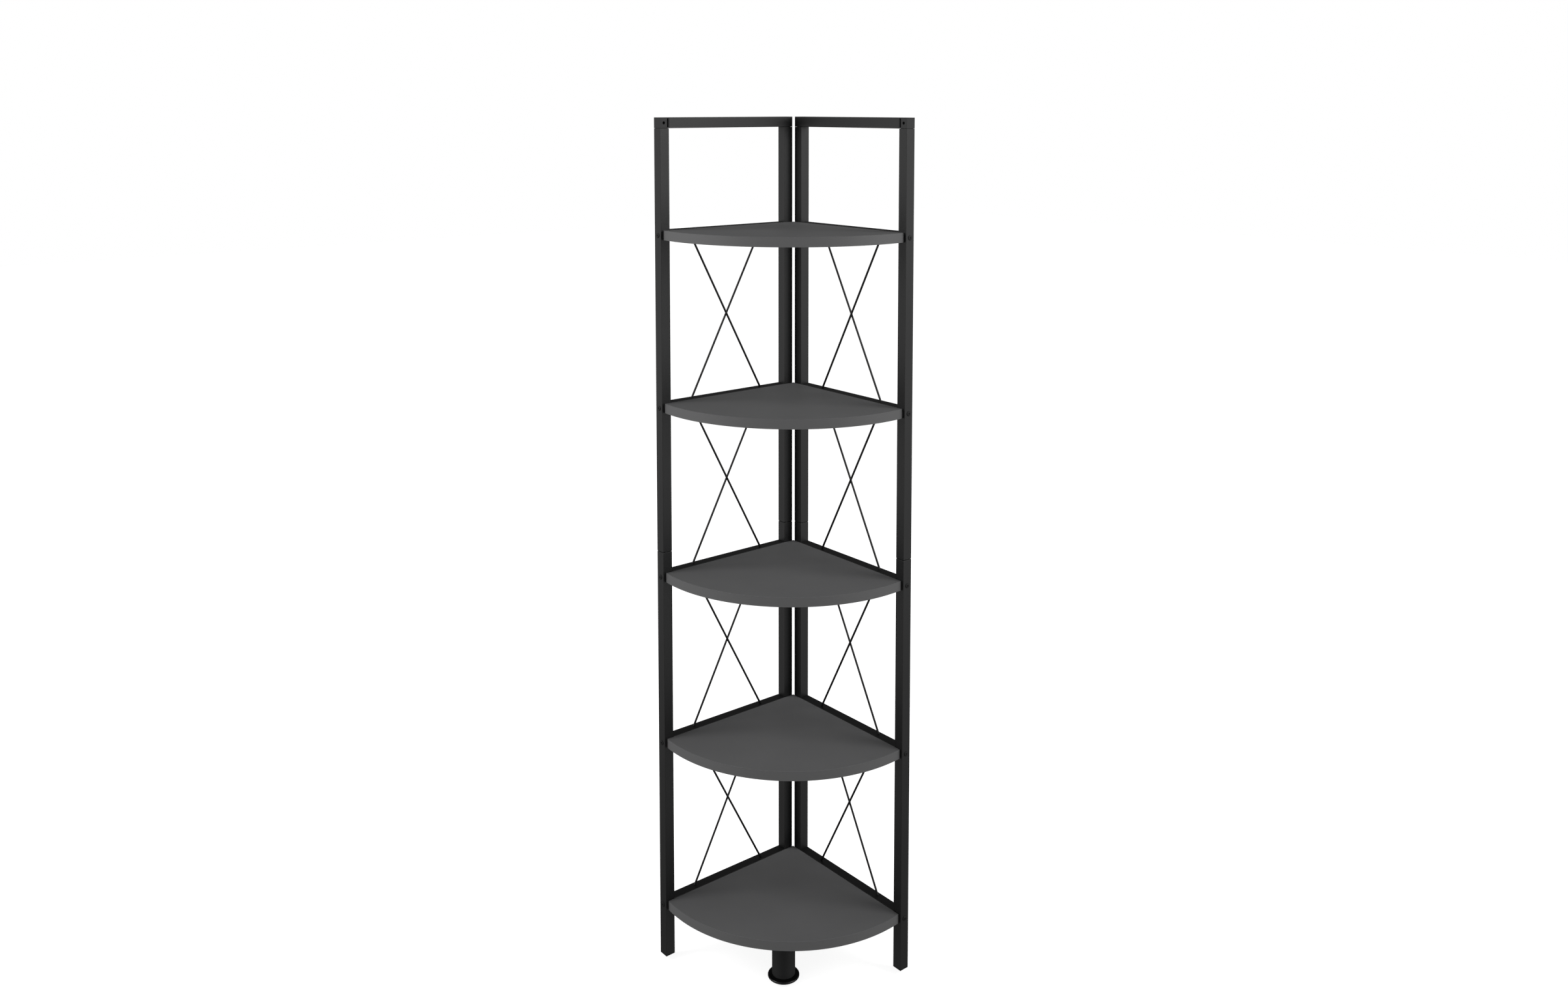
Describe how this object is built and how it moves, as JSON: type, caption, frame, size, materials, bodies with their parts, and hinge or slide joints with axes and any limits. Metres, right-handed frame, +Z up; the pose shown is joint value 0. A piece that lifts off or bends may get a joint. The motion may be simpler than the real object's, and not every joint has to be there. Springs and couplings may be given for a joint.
{
  "type": "corner shelf unit",
  "caption": "Tall corner shelf unit with two ladder frames of square tube, crossed bracing rods, quarter-round shelves and a round front leg on a levelling foot.",
  "frame": {"origin": "on the floor, under the middle of the unit's square outline", "axes": "+Z up; the room corner lies towards -X and +Y, the left frame stands along the -X side and the right frame along the +Y side, and the shelves' round front looks towards +X and -Y"},
  "size_m": [0.3414, 0.3414, 1.624],
  "materials": {
    "frame_paint": "satin dark grey powder coat with a fine grain",
    "shelf_board": "smooth satin dark grey lacquer on board",
    "moulded_plastic": "matt dark grey moulding",
    "foot_plastic": "glossy black moulding",
    "zinc_steel": "zinc-plated steel"
  },
  "bodies": {
    "unit": {"left_front_post_lower": "frame_paint", "left_front_post_upper": "frame_paint", "left_front_post_sleeve": "zinc_steel", "left_front_post_glide": "foot_plastic", "left_back_post_lower": "frame_paint", "left_back_post_upper": "frame_paint", "left_back_post_sleeve": "zinc_steel", "left_back_post_glide": "foot_plastic", "left_shelf_rail_1": "frame_paint", "left_shelf_rail_2": "frame_paint", "left_shelf_rail_3": "frame_paint", "left_shelf_rail_4": "frame_paint", "left_shelf_rail_5": "frame_paint", "left_brace_1_room_side": "frame_paint", "left_brace_1_wall_side": "frame_paint", "left_brace_2_room_side": "frame_paint", "left_brace_2_wall_side": "frame_paint", "left_brace_3_room_side": "frame_paint", "left_brace_3_wall_side": "frame_paint", "left_brace_4_room_side": "frame_paint", "left_brace_4_wall_side": "frame_paint", "left_top_rail": "frame_paint", "left_corner_block": "moulded_plastic", "left_back_connector": "moulded_plastic", "right_front_post_lower": "frame_paint", "right_front_post_upper": "frame_paint", "right_front_post_sleeve": "zinc_steel", "right_front_post_glide": "foot_plastic", "right_back_post_lower": "frame_paint", "right_back_post_upper": "frame_paint", "right_back_post_sleeve": "zinc_steel", "right_back_post_glide": "foot_plastic", "right_shelf_rail_1": "frame_paint", "right_shelf_rail_2": "frame_paint", "right_shelf_rail_3": "frame_paint", "right_shelf_rail_4": "frame_paint", "right_shelf_rail_5": "frame_paint", "right_brace_1_room_side": "frame_paint", "right_brace_1_wall_side": "frame_paint", "right_brace_2_room_side": "frame_paint", "right_brace_2_wall_side": "frame_paint", "right_brace_3_room_side": "frame_paint", "right_brace_3_wall_side": "frame_paint", "right_brace_4_room_side": "frame_paint", "right_brace_4_wall_side": "frame_paint", "right_top_rail": "frame_paint", "right_corner_block": "moulded_plastic", "right_back_connector": "moulded_plastic", "shelf_1": "shelf_board", "shelf_2": "shelf_board", "shelf_3": "shelf_board", "shelf_4": "shelf_board", "shelf_5": "shelf_board", "leg_plate": "frame_paint", "leg_tube": "frame_paint"},
    "foot": {"levelling_foot": "foot_plastic", "levelling_stem": "zinc_steel"}
  },
  "joints": [
    {"name": "foot_travel", "type": "slide", "parent": "unit", "child": "foot", "axis": [0, 0, -1], "range_m": [0, 0.01]}
  ]
}
